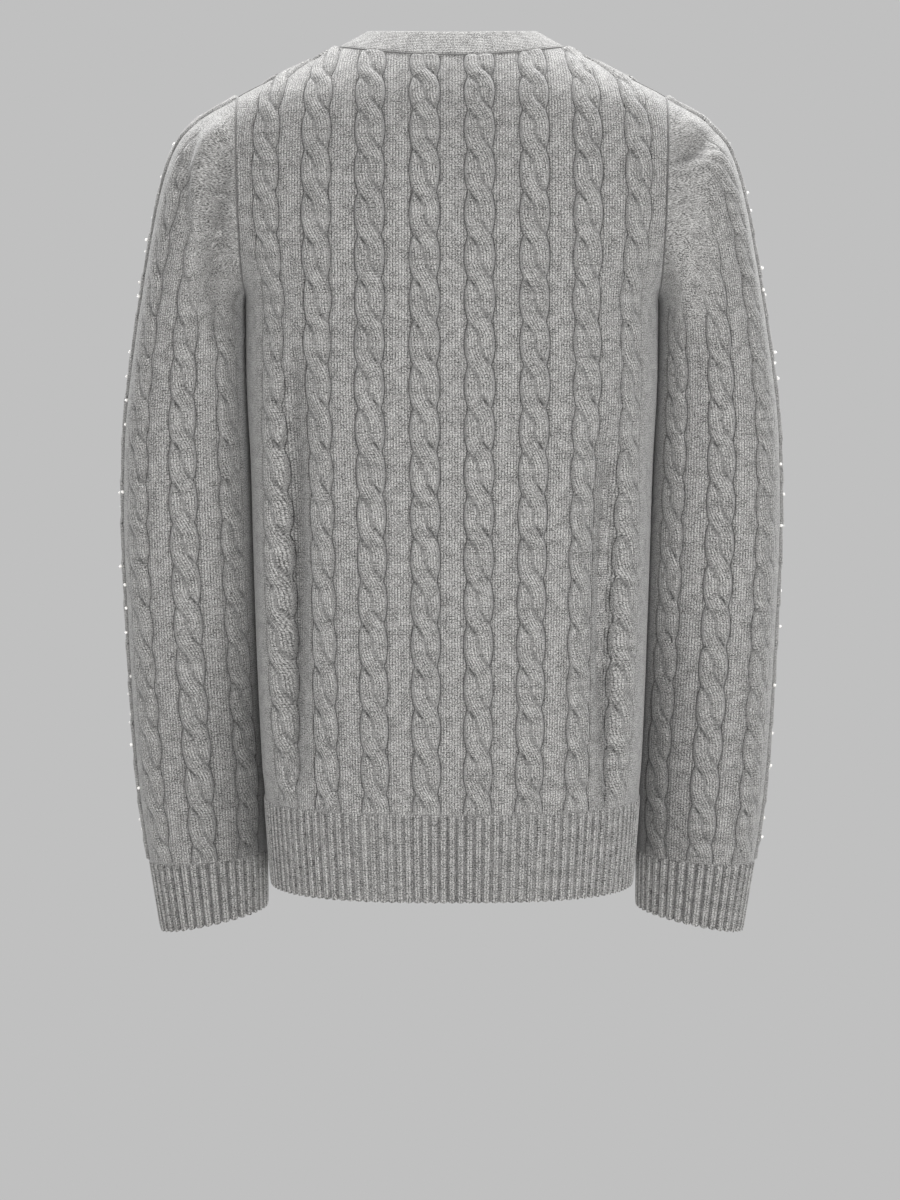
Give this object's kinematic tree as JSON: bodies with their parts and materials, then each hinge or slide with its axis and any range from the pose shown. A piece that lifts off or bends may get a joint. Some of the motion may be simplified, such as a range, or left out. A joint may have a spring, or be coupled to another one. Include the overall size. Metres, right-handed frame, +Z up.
{
  "type": "cable knit cardigan",
  "caption": "Long-sleeved cable knit cardigan in grey marl wool, buttoned, with ribbed hem and cuffs and a plain knitted band round the V neck, in its worn hollow shape.",
  "frame": {"origin": "the middle of the neck opening, at the height where the shoulder seams meet it, where the wearer's neck and shoulders carry it", "axes": "+X towards the wearer's left, +Y towards the wearer's back, +Z up"},
  "size_m": [0.5648, 0.2487, 0.7699],
  "materials": {
    "cable_knit": "cable knit in grey marl wool",
    "rib_knit": "ribbed knit in grey marl wool",
    "band_knit": "plain close knit in grey marl wool",
    "button_plastic": "smooth, slightly glossy"
  },
  "bodies": {
    "root": {"back": "cable_knit", "front_left": "cable_knit", "front_right": "cable_knit", "sleeve_left": "cable_knit", "sleeve_right": "cable_knit", "hem_back": "rib_knit", "hem_front_left": "rib_knit", "hem_front_right": "rib_knit", "cuff_left": "rib_knit", "cuff_right": "rib_knit", "band": "band_knit", "button_1": "button_plastic", "button_2": "button_plastic", "button_3": "button_plastic", "button_4": "button_plastic", "button_5": "button_plastic", "button_6": "button_plastic"}
  },
  "joints": []
}
